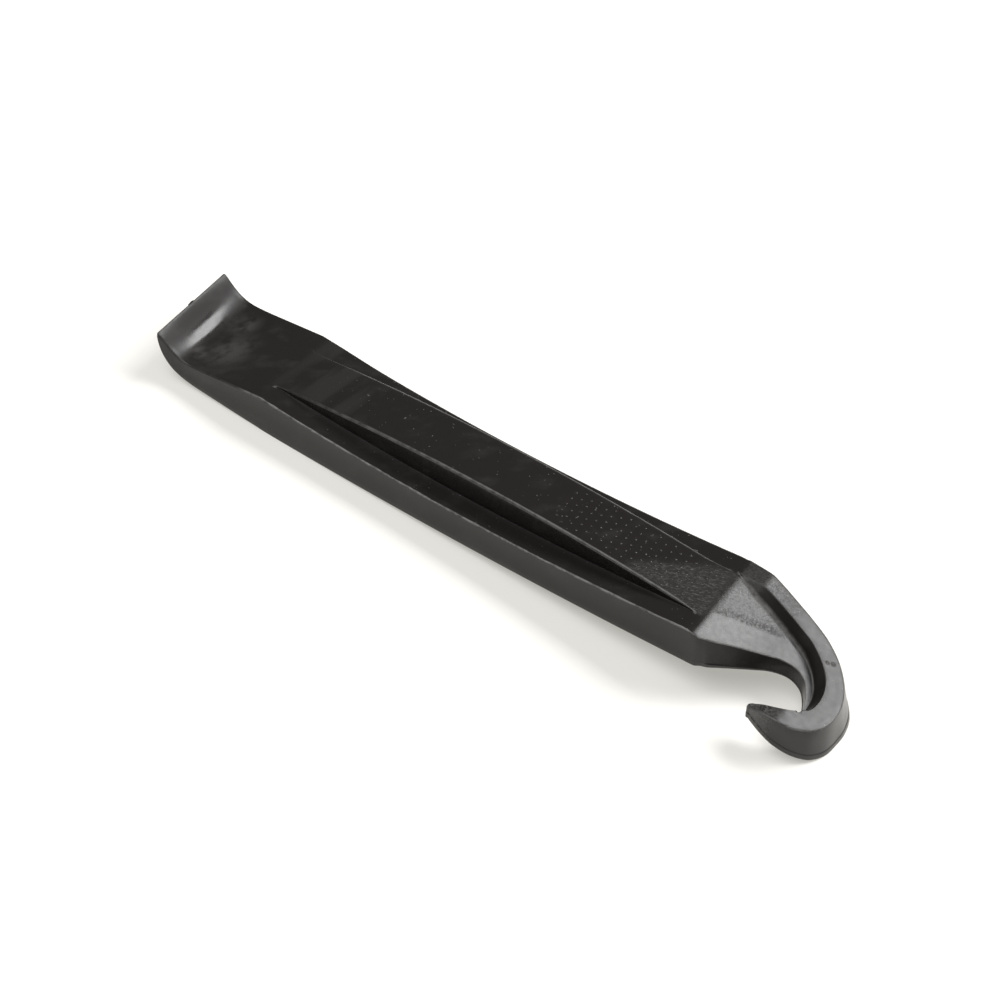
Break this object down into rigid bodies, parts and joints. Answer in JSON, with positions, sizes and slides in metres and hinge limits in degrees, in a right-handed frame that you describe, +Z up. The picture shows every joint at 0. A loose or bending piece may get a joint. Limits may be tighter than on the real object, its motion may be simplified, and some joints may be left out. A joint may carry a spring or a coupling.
{
  "type": "tyre lever",
  "caption": "Moulded plastic tyre lever with a curled spoon tip, a raised rib along its back and a side hook that parks on a spoke.",
  "frame": {"origin": "centre of the bounding box in X and Y, at the surface that the lever rests on", "axes": "+X along the lever from the spoon towards the hook, -Y the side that the hook opens to, +Z up, the rib on top"},
  "size_m": [0.1162, 0.0182, 0.0121],
  "materials": {
    "black_nylon": "satin moulded black, lightly scuffed near the hook"
  },
  "bodies": {
    "root": {"lever_body": "black_nylon"}
  },
  "joints": []
}
